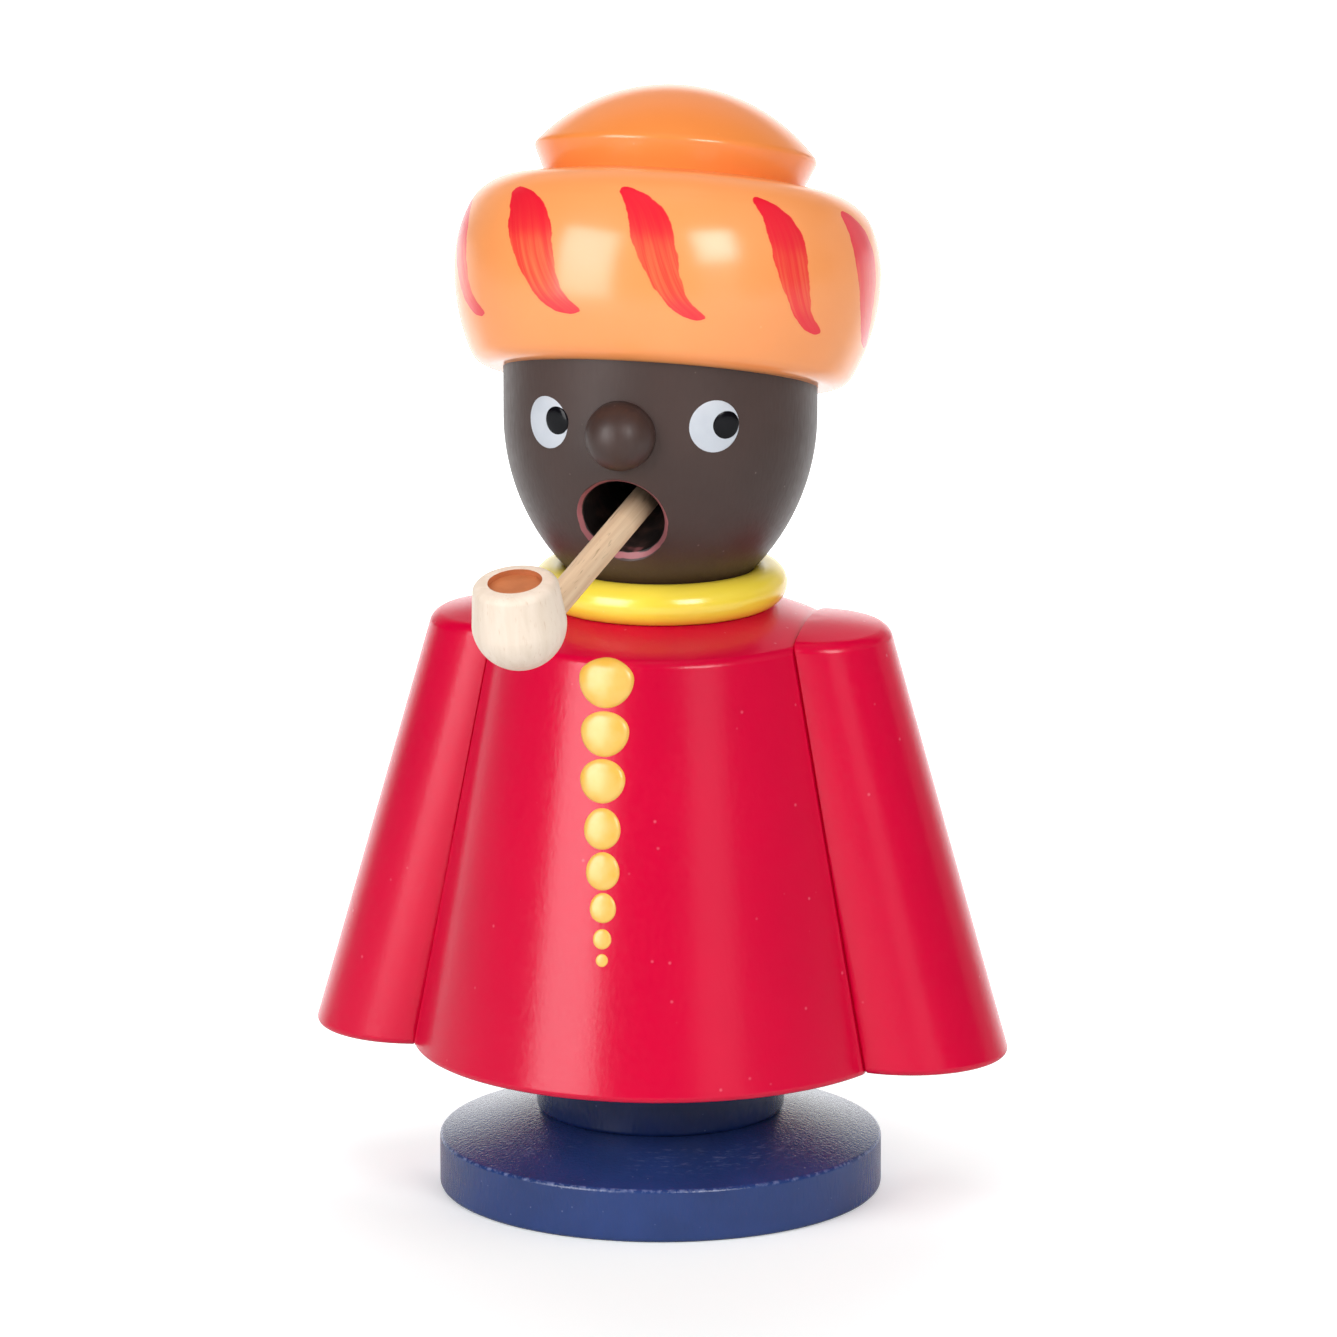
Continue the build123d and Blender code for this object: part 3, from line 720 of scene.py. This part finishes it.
# Eyes: two white dots and two black ones that look to the figure's left, at degrees round and height
eyes = {
    "eyeWhites": {
        "places": ((-31.8, 116.3), (33.5, 116.8)), "width": 7.5, "thickness": 0.15,
        "named": "whitePaintDots",
        "paint": {"colour": "cdd1d9", "deep": "c6cbd4", "cloudSize": 3.0, "rough": 0.4, "ior": 1.5},
    },
    "eyePupils": {
        "places": ((-27.2, 116.8), (37.6, 116.9)), "width": 4.3, "thickness": 0.3,
        "named": "blackPaintDots",
        "paint": {"colour": "100f14", "deep": "0b0a0e", "cloudSize": 3.0, "rough": 0.15, "ior": 1.3},
    },
}


def buildEyes(surface):
    for name, dot in eyes.items():
        drops = [paintDrop(surface, *place, dot["width"], dot["thickness"]) for place in dot["places"]]
        enamel = thickPaint(dot["named"], dot["paint"])
        finishPiece(joined(drops), name, figureBody, [enamel])


# Turban and crown, in the hat's own frame
hat = {
    "footRadius": 26.3, "radius": 30.6, "waist": 15.5, "shoulderArc": 18.6, "shoulder": 26.6,
    "height": 28.1, "footBevel": 2.0, "shoulderBevel": 3.1, "crownFoot": 18.5, "seatMargin": 0.5,
    "dowelHole": 3.05, "dowelInHead": 4.9, "dowelInCrown": 6.4, "footRoom": 4, "shoulderRoom": 8,
    "brimRadius": 20.4, "brimHeight": 4.2, "capHeight": 9.79, "brimBevel": 0.5,
}
# Orange lacquer: satin film over smooth turned wood
orangeLook = {
    "colour": "ffa260", "deep": "fe9c5a", "cloudSize": 25.0,
    "poreSize": 0.8, "poreStretch": 1.5, "poreDepth": 0.03,
    "bump": 0.06, "nibSpacing": 5.0, "nibShare": 0.05, "nibColour": "ffc890", "nibTint": 0.4,
    "rough": 0.21, "roughSpread": 0.02, "ior": 1.58,
}
# the crown's coat is a little redder
crownLook = dict(orangeLook, colour="fa944a", deep="f78e45")
# brush strokes: spacing and first place in degrees; rows of height, lean and half width along one stroke;
# by hand no two are alike: degrees off its place, share of the width and how dry, once round from the back
strokes = {
    "spacing": 36.0, "first": 9.2, "colour": "ee1c34", "thin": "fb5640",
    "low": 5.0, "high": 25.0, "lean": 14.0, "half": 7.0, "least": 0.05, "edge": 0.3, "ragged": 0.4,
    "raggedSize": 2.2, "bristles": 0.9, "streaks": (0.4, 0.72), "streakTint": 0.6,
    "drying": ((0.0, 0.0), (0.12, 0.25), (0.3, 0.85), (0.5, 0.75), (0.68, 0.15), (1.0, 0.0)),
    "rows": (
        (24.1, -9.6, 0.0), (23.6, -8.4, 2.6), (22.6, -6.0, 4.4), (21.0, -3.4, 5.3), (18.8, -1.5, 5.9),
        (16.3, 0.0, 5.8), (13.3, 1.8, 5.1), (10.4, 4.2, 4.3), (8.3, 7.0, 3.9), (7.1, 9.8, 4.0),
        (6.4, 11.8, 3.6), (6.0, 12.6, 2.2), (5.8, 13.0, 0.0),
    ),
    "hand": (
        (1.5, 0.95, 0.9), (-2.0, 1.1, 0.6), (1.0, 1.0, 0.8), (0.0, 1.0, 0.7), (0.0, 1.28, 0.85),
        (0.0, 1.0, 0.9), (2.1, 1.0, 0.55), (0.0, 1.3, 0.4), (-1.5, 1.05, 0.9), (1.0, 0.9, 0.6),
    ),
    "handShift": 10.0, "handWidth": 2.0,
}


def setCurve(node, points):
    curve = node.mapping.curves[0]
    for x, y in points[1:-1]:
        curve.points.new(x, y)
    curve.points[0].location = points[0]
    curve.points[-1].location = points[-1]
    node.mapping.extend = "HORIZONTAL"
    node.mapping.update()


def turbanPaint():
    # orange lacquer with slanting red brush strokes, full at the top and streaky where the brush ran dry
    material, add, shader, place, colour = paint("orangeLacquerWithBrushStrokes", orangeLook)
    axes = ownAxes(add, place, hatPlace)[0]
    front = add("Math", {0: axes[1], 1: -1.0}, operation="MULTIPLY")
    angle = add("Math", {0: axes[0], 1: front}, operation="ARCTAN2")
    height = add("MapRange", {0: axes[2], 1: strokes["low"] * mm, 2: strokes["high"] * mm})
    tall, spacing, most = strokes["high"] - strokes["low"], strokes["spacing"], strokes["lean"]
    rows = [((h - strokes["low"]) / tall, shift, width) for h, shift, width in reversed(strokes["rows"])]
    lean = add("FloatCurve", {"Value": height})
    setCurve(lean, [(h, 0.5 + shift / (2 * most)) for h, shift, width in rows])
    half = add("FloatCurve", {"Value": height})
    setCurve(half, [(h, width / strokes["half"]) for h, shift, width in rows])
    # degrees across the nearest stroke, and that stroke's number
    first = most - strokes["first"]
    degrees = add("Math", {0: angle, 1: 180 / math.pi, 2: first}, operation="MULTIPLY_ADD")
    upright = add("Math", {0: lean, 1: -2 * most, 2: degrees}, operation="MULTIPLY_ADD")
    turns = add("Math", {0: upright, 1: 1 / spacing, 2: 0.5}, operation="MULTIPLY_ADD")
    number = add("Math", {0: turns}, operation="FLOOR")
    part = add("Math", {0: turns, 1: number}, operation="SUBTRACT")
    even = add("Math", {0: part, 1: spacing, 2: -spacing / 2}, operation="MULTIPLY_ADD")
    # the stroke's own shift, width and dryness, by its number
    count, reach, wide = len(strokes["hand"]), strokes["handShift"], strokes["handWidth"]
    order = add("Math", {0: number, 1: 1 / count, 2: 0.5 + 0.5 / count}, operation="MULTIPLY_ADD")
    wrapped = add("Math", {0: order}, operation="FRACT")
    hand = add("ValToRGB", {"Fac": wrapped})
    hand.color_ramp.interpolation = "CONSTANT"
    stops = hand.color_ramp.elements
    stops.remove(stops[1])
    for i, (shift, share, dryness) in enumerate(strokes["hand"]):
        stop = stops[0] if i == 0 else stops.new(i / count)
        stop.color = (0.5 + shift / reach, share / wide, dryness, 1)
    own = add("SeparateColor", {0: hand})
    moved = add("Math", {0: own, 1: -reach, 2: reach / 2}, operation="MULTIPLY_ADD")
    across = add("Math", {0: even, 1: moved}, operation="ADD")
    aside = add("Math", {0: across}, operation="ABSOLUTE")
    broad = add("Math", {0: half, 1: own.outputs[1]}, operation="MULTIPLY")
    inside = add("Math", {0: broad, 1: strokes["half"] * wide}, operation="MULTIPLY")
    wobble = add("TexNoise", {"Vector": place, "Scale": perMm(strokes["raggedSize"]), "Detail": 5.0})
    ragged = add("MapRange", {0: wobble, **span(noiseSpan), 3: -strokes["ragged"], 4: strokes["ragged"]})
    edge = add("Math", {0: inside, 1: aside}, operation="SUBTRACT")
    rough = add("Math", {0: edge, 1: ragged}, operation="ADD")
    mask = add("MapRange", {0: rough, 1: 0.0, 2: strokes["edge"]})
    within = add("Math", {0: half, 1: strokes["least"]}, operation="GREATER_THAN")
    cover = add("Math", {0: mask, 1: within}, operation="MULTIPLY")
    # bristle streaks along the stroke, strongest below its middle
    bristle = add("CombineXYZ", {0: across, 1: height, 2: number})
    streaks = add("TexNoise", {
        "Vector": bristle, "Scale": strokes["bristles"], "Detail": 4.0, "Roughness": 0.6,
    })
    fewest, full = strokes["streaks"]
    streak = add("MapRange", {0: streaks, 1: fewest, 2: full, 4: strokes["streakTint"]})
    drying = add("FloatCurve", {"Value": height})
    setCurve(drying, strokes["drying"])
    dry = add("Math", {0: drying, 1: own.outputs[2]}, operation="MULTIPLY")
    thin = add("Math", {0: streak, 1: dry}, operation="MULTIPLY")
    red = add("Mix", {0: dry, 6: strokes["colour"], 7: strokes["thin"]}, data_type="RGBA")
    streaky = add("Mix", {0: thin, 6: red, 7: colour}, data_type="RGBA")
    striped = add("Mix", {0: cover, 6: colour, 7: streaky}, data_type="RGBA")
    setInputs(shader, {"Base Color": striped})
    return material


def buildHat():
    inset, top = hat["radius"] - hat["footRadius"], hat["height"]
    lowerArc, upperArc = (inset ** 2 + hat["waist"] ** 2) / (2 * inset), hat["shoulderArc"]
    lowest = math.degrees(math.asin(hat["waist"] / lowerArc))
    highest = math.degrees(math.asin((hat["shoulder"] - hat["waist"]) / upperArc))
    lower = arc((hat["radius"] - lowerArc, hat["waist"]), lowerArc, -lowest, 0, count=24)
    upper = arc((hat["radius"] - upperArc, hat["waist"]), upperArc, 0, highest, count=24)
    # points left out make room for the bevels at both ends
    swell = lower[:1] + lower[hat["footRoom"]:] + upper[1:-hat["shoulderRoom"]] + upper[-1:]
    hole = hat["dowelHole"]
    roll = turned(
        [(hole, 0)] + swell + [(hat["crownFoot"] + hat["seatMargin"], top), (hole, top)], closed=True,
    )
    roundRim(roll, hat["footRadius"], 0, hat["footBevel"], segments=8)
    roundRim(roll, *swell[-1], hat["shoulderBevel"], segments=10)
    finishPiece(placed(roll, hatPlace), "turban", figureBody, [turbanPaint()], ["turban"])
    brim, cap, holeTop = hat["brimRadius"], hat["capHeight"], top + hat["dowelInCrown"]
    dome = (brim ** 2 + cap ** 2) / (2 * cap)
    start = math.degrees(math.atan2(dome - cap, brim))
    crown = turned([
        (0, holeTop), (hole, holeTop), (hole, top), (hat["crownFoot"], top),
    ] + arc((0, top + hat["brimHeight"] + cap - dome), dome, start, 90, count=28))
    roundRim(crown, brim, top + hat["brimHeight"], hat["brimBevel"], segments=4)
    plain = paint("orangeLacquerOnBeech", crownLook)[0]
    placed(crown, hatPlace)
    finishPiece(crown, "turbanCrown", figureBody, [plain], ["turban_crown"])


# Pipe woods: a tan beech stem, with painted shade where it goes into the mouth, and a pale maple bowl
mouthAlong = bowlCentre.dot(stemOut) - pipe["reach"]
# painted shade: the stem darkens towards its end for the shadow inside the mouth
stemLook = dict(
    beechLook, grain=stemOut, early="eed0ae", late="d6b28e",
    poreStretch=12.0, bandSize=0.9, bandStretch=40.0,
    shadeTint=0.78, shadeFrom=mouthAlong + pipe["shadeFrom"], shadeTo=mouthAlong + pipe["shadeTo"],
)
mapleLook = dict(
    beechLook, grain=bowlUp, early="f4e2d1", late="ead6c2", pore="c89c70", bandSize=1.6, bandStretch=9.0,
    poreTint=0.3, rough=0.5,
)


def buildPipe():
    radius, start = pipe["stemRadius"], pipe["bowlRadius"] - pipe["stemInBowl"]
    stem = placed(rod(radius, start, stemEnd, 96), stemPlace)
    finishPiece(stem, "pipeStem", pipeBody, [bareWood("beechRodWithPaintedShade", stemLook)], ["pipe_stem"])
    waist, top, fill = pipe["bowlWaist"], pipe["bowlHeight"], pipe["fillRadius"]
    floor = top - pipe["fillDepth"]
    cup = turned(
        arc((0, waist), pipe["bowlRadius"], -90, 0, count=24)
        + [(pipe["bowlTop"], top), (fill, top), (fill, floor), (0, floor)], steps=128,
    )
    roundRim(cup, pipe["bowlTop"], top, pipe["rimBevel"])
    for face in cup.faces:  # the recess is painted brown
        middle = face.calc_center_median()
        face.material_index = int(middle.xy.length < fill and middle.z > floor - tiny)
    hole = rod(radius + glueGap, start - endGap, pipe["bowlRadius"] + pipe["bowlSpare"])
    cup = carved(placed(cup, bowlPlace), placed(hole, stemPlace))
    woods = [bareWood("sandedMaple", mapleLook), thickPaint("brownPaintFill", pipe["fill"])]
    finishPiece(cup, "pipeBowl", pipeBody, woods, ["pipe_bowl"])


buildBase()
buildDish()
coatSurface = buildCoat()
buildSleeve(1, "leftSleeve", "left_sleeve")
buildSleeve(-1, "rightSleeve", "right_sleeve")
buildButtons(coatSurface)
buildCollar()
print("base and coat built")
stain = faceStainWithBoreShade()
headSurface = buildHead(stain)
buildNose(stain)
buildEyes(headSurface)
buildHat()
buildPipe()
print("head, hat and pipe built")

# Inner dowels and brads keep their solids and take a finish
brass = metal("brassPlatedSteel", brassLook)
for node in ("hub_dowel", "sleeve_dowels", "hat_dowel", "plate_brads"):
    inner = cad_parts[node]
    inner.data.materials.clear()
    inner.data.materials.append(brass if node == "plate_brads" else beech)


# Studio: a white sweep with two softboxes in front
studio = {
    "cameraAzimuth": 13.5, "cameraDistance": 1.4, "cameraHeight": 0.40457, "cameraPitch": 0.23,
    "cameraAside": 0.00115, "lens": 268.75, "floorSize": 8.0, "floorColour": "e1e6e6",
    "lampAim": 0.09, "lampDistance": 1.6,
    # degrees from the camera, degrees up, width and height in metres, watts, and use:
    # a fill isn't mirrored, a sheen is only that
    "lamps": {
        "leftSoftbox": (-46.0, 21.0, 0.88, 0.74, 13.6, "both"),
        "leftSheen": (-46.0, 2.0, 0.88, 0.32, 5.2, "sheen"),
        "leftFill": (-50.0, 38.0, 0.9, 0.9, 4.2, "fill"),
        "rightSoftbox": (28.0, 27.0, 0.6, 0.62, 11.0, "both"),
        "rightSheen": (28.0, 4.0, 0.6, 0.56, 0.8, "sheen"),
        "rightFill": (80.0, 30.0, 1.2, 1.2, 5.0, "fill"),
        "rightCard": (118.0, 8.0, 1.1, 0.8, 1.1, "sheen"),
        "topFill": (0.0, 80.0, 1.0, 1.0, 5.0, "fill"),
        "backFill": (180.0, 35.0, 1.2, 1.2, 12.0, "fill"),
    },
    # light of the room before the object, of the sweep behind it, and where one goes over into the other
    "roomLevel": 0.03, "sweepLevel": 0.5, "sweepEdge": (0.45, 0.8),
    # the lit middle of the sweep, low down
    "glowLevel": 1.9, "glowEdge": (0.75, 1.05), "glowTop": (0.22, 0.42),
    # added to the floor where it is looked at, near and far from a point before the object,
    # and where the floor starts to be mirrored behind it
    "floorLift": (0.32, 1.0), "liftRadius": (0.07, 0.2), "liftForward": 0.06, "mirrorEdge": (0.45, 0.8),
}
cameraTurn = math.radians(studio["cameraAzimuth"])
towardsCamera = Vector((math.sin(cameraTurn), -math.cos(cameraTurn), 0))


def paperFloor():
    # white paper sweep: the lift is only looked at, so it adds no light and the object keeps its shadow
    material = bpy.data.materials.new("whitePaper")
    add = emptyTree(material)
    place = add("TexCoord").outputs["Object"]
    middle = towardsCamera * studio["liftForward"]
    reach = add("VectorMath", {0: place, 1: middle}, operation="DISTANCE")
    lift = add("MapRange", {
        0: reach, **span(studio["liftRadius"]),
        3: studio["floorLift"][0], 4: studio["floorLift"][1],
    })
    way = add("VectorMath", {0: place}, operation="NORMALIZE")
    behind = add("VectorMath", {0: way, 1: -towardsCamera}, operation="DOT_PRODUCT")
    far = add("MapRange", {0: behind, **span(studio["mirrorEdge"])}, interpolation_type="SMOOTHSTEP")
    ray = add("LightPath").outputs
    mirror = add("Math", {0: ray["Is Glossy Ray"], 1: ray["Is Transmission Ray"]}, operation="MAXIMUM")
    mirrored = add("Math", {0: mirror, 1: far}, operation="MULTIPLY")
    looked = add("Math", {0: ray["Is Camera Ray"], 1: mirrored}, operation="MAXIMUM")
    seen = add("Math", {0: lift, 1: looked}, operation="MULTIPLY")
    matt = add("BsdfDiffuse", {"Color": studio["floorColour"]})
    glow = add("Emission", {"Strength": seen})
    both = add("AddShader", {0: matt, 1: glow})
    add("OutputMaterial", {"Surface": both})
    return material


def whiteRoom():
    # white to the camera; as light and in reflections a bright sweep behind the object, a dim room in front
    world = bpy.data.worlds.new("whiteStudio")
    add = emptyTree(world)
    way = add("TexCoord").outputs["Generated"]
    behind = add("VectorMath", {0: way, 1: -towardsCamera}, operation="DOT_PRODUCT")
    up = add("SeparateXYZ", {0: way}).outputs[2]
    level = add("MapRange", {
        0: behind, **span(studio["sweepEdge"]),
        3: studio["roomLevel"], 4: studio["sweepLevel"],
    }, interpolation_type="SMOOTHSTEP")
    middle = add("MapRange", {
        0: behind, **span(studio["glowEdge"]), 4: studio["glowLevel"],
    }, interpolation_type="SMOOTHSTEP")
    low = add("MapRange", {
        0: up, **span(studio["glowTop"]), 3: 1.0, 4: 0.0,
    }, interpolation_type="SMOOTHSTEP")
    lit = add("Math", {0: middle, 1: low, 2: level}, operation="MULTIPLY_ADD")
    ray = add("LightPath").outputs
    looked = add("Math", {0: ray["Is Camera Ray"], 1: ray["Is Transmission Ray"]}, operation="MAXIMUM")
    white = add("Math", {0: lit, 1: looked}, operation="MAXIMUM")
    back = add("Background", {"Strength": white})
    add("OutputWorld", {"Surface": back})
    return world


def buildStudio():
    scene = bpy.context.scene
    lens = bpy.data.cameras.new("camera")
    lens.sensor_fit = "HORIZONTAL"
    lens.lens = studio["lens"]
    camera = bpy.data.objects.new("camera", lens)
    right = Vector((math.cos(cameraTurn), math.sin(cameraTurn), 0))
    camera.location = towardsCamera * studio["cameraDistance"] + right * studio["cameraAside"]
    camera.location.z = studio["cameraHeight"]
    camera.rotation_euler = (math.pi / 2 - studio["cameraPitch"], 0, cameraTurn)
    scene.collection.objects.link(camera)
    scene.camera = camera
    for name, (turn, lift, width, height, watts, use) in studio["lamps"].items():
        lamp = bpy.data.lights.new(name, "AREA")
        lamp.shape = "RECTANGLE"
        lamp.size, lamp.size_y = width, height
        lamp.energy = watts
        box = bpy.data.objects.new(name, lamp)
        box.visible_glossy = use != "fill"
        box.visible_diffuse = use != "sheen"
        up = math.radians(lift)
        way = roundAt(studio["cameraAzimuth"] + turn) * math.cos(up) + Vector((0, 0, math.sin(up)))
        box.location = Vector((0, 0, studio["lampAim"])) + way * studio["lampDistance"]
        box.rotation_euler = way.to_track_quat("Z", "Y").to_euler()
        scene.collection.objects.link(box)
    sheet = bmesh.new()
    bmesh.ops.create_grid(sheet, x_segments=1, y_segments=1, size=studio["floorSize"] / 2)
    mesh = bpy.data.meshes.new("studioFloor")
    sheet.to_mesh(mesh)
    sheet.free()
    mesh.materials.append(paperFloor())
    floor = bpy.data.objects.new("studioFloor", mesh)
    scene.collection.objects.link(floor)
    scene.world = whiteRoom()
    scene.view_settings.view_transform = "Standard"


buildStudio()
print("studio built")
